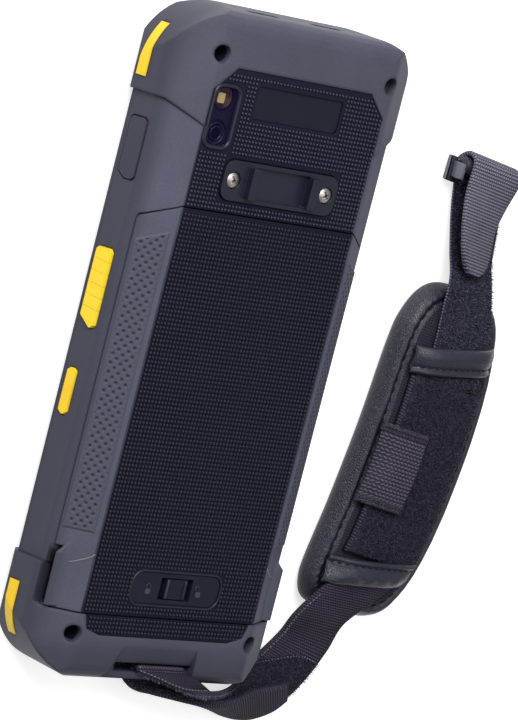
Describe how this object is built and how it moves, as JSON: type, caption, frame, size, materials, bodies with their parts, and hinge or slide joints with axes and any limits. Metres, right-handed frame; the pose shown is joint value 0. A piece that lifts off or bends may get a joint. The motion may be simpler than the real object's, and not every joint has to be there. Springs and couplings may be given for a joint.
{
  "type": "handheld data collector with hand strap",
  "caption": "Rugged handheld data collector lying screen down, with a latched battery on its back, side keys, a flap over its port and a padded hand strap threaded through its bottom end.",
  "frame": {"origin": "middle of the front rim's plane, the side with the screen, which lies on the table", "axes": "+X to the right seen from the rear, +Y to the top end with the camera, +Z out of the rear panel"},
  "size_m": [0.1451, 0.1879, 0.0212],
  "materials": {
    "housing": "moulded, fine dot texture on the rear panel",
    "bumper": "satin, fine grain",
    "accent": "satin yellow",
    "cover_glass": "polished, black edged",
    "window": "polished, dark blue",
    "display": "smooth",
    "frame": "cast, plain",
    "board": "solder mask",
    "sheet_metal": "plain",
    "screws": "bright",
    "dark_screws": "blackened",
    "flash": "clear over yellow phosphor",
    "bracket": "satin",
    "keys": "satin",
    "speaker": "plain",
    "ceramic": "fired",
    "contacts": "gold plated",
    "battery": "dot texture on the panel, dimpled flanks",
    "cells": "film wrapped",
    "seal": "smooth",
    "webbing": "woven, with pile faces",
    "leather": "soft grain",
    "loop_pile": "looped pile",
    "hook": "satin"
  },
  "bodies": {
    "housing": {"front_bezel": "housing", "rear_housing": "housing", "label_plate": "housing", "camera_module": "housing", "top_bumper": "bumper", "bottom_bumper": "bumper", "bumper_inserts": "accent", "touch_glass": "cover_glass", "camera_window": "window", "display_panel": "display", "mid_frame": "frame", "main_board": "board", "board_shield": "sheet_metal", "vibration_motor": "sheet_metal", "scan_switch": "sheet_metal", "key_switch": "sheet_metal", "volume_switch": "sheet_metal", "power_switch": "sheet_metal", "port_connector": "sheet_metal", "bracket_screws": "screws", "case_screws": "dark_screws", "flash_led": "flash", "strap_bracket": "bracket", "speaker": "speaker", "gnss_antenna": "ceramic", "bay_contacts": "contacts", "lower_webbing": "webbing", "upper_webbing": "webbing", "pen_loop": "webbing", "hand_pad": "leather", "top_band": "leather", "bottom_band": "leather", "loop_panel": "loop_pile"},
    "battery": {"battery_case": "battery", "battery_cells": "cells", "battery_contacts": "contacts", "battery_seal": "seal", "latch_plate": "bracket"},
    "latch": {"latch_slider": "bracket"},
    "scan": {"scan_button": "accent"},
    "key": {"side_key": "accent"},
    "volume": {"volume_key": "keys"},
    "power": {"power_key": "keys"},
    "flap": {"port_flap": "bumper"},
    "hook": {"strap_hook": "hook"}
  },
  "joints": [
    {"name": "battery_tilt", "type": "hinge", "parent": "housing", "child": "battery", "pos_m": [0, 0.03655, 0.0184], "axis": [-1, 0, 0], "range_deg": [0, 45]},
    {"name": "latch_slide", "type": "slide", "parent": "battery", "child": "latch", "axis": [1, 0, 0], "range_m": [-0.0015, 0.0015]},
    {"name": "scan_press", "type": "slide", "parent": "housing", "child": "scan", "axis": [1, 0, 0], "range_m": [0, 0.0008], "stiffness_N_per_m": 2000},
    {"name": "key_press", "type": "slide", "parent": "housing", "child": "key", "axis": [1, 0, 0], "range_m": [0, 0.0008], "stiffness_N_per_m": 2000},
    {"name": "volume_press", "type": "slide", "parent": "housing", "child": "volume", "axis": [-1, 0, 0], "range_m": [0, 0.0008], "stiffness_N_per_m": 2000},
    {"name": "power_press", "type": "slide", "parent": "housing", "child": "power", "axis": [-1, 0, 0], "range_m": [0, 0.0008], "stiffness_N_per_m": 2000},
    {"name": "flap_open", "type": "hinge", "parent": "housing", "child": "flap", "pos_m": [-0.04105, 0.04785, 0.0048], "axis": [0, -1, 0], "range_deg": [0, 95]},
    {"name": "hook_turn", "type": "hinge", "parent": "housing", "child": "hook", "pos_m": [0.08509, 0.05667, 0.00535], "axis": [0.9893, -0.1461, 0], "range_deg": [-20, 20]}
  ]
}
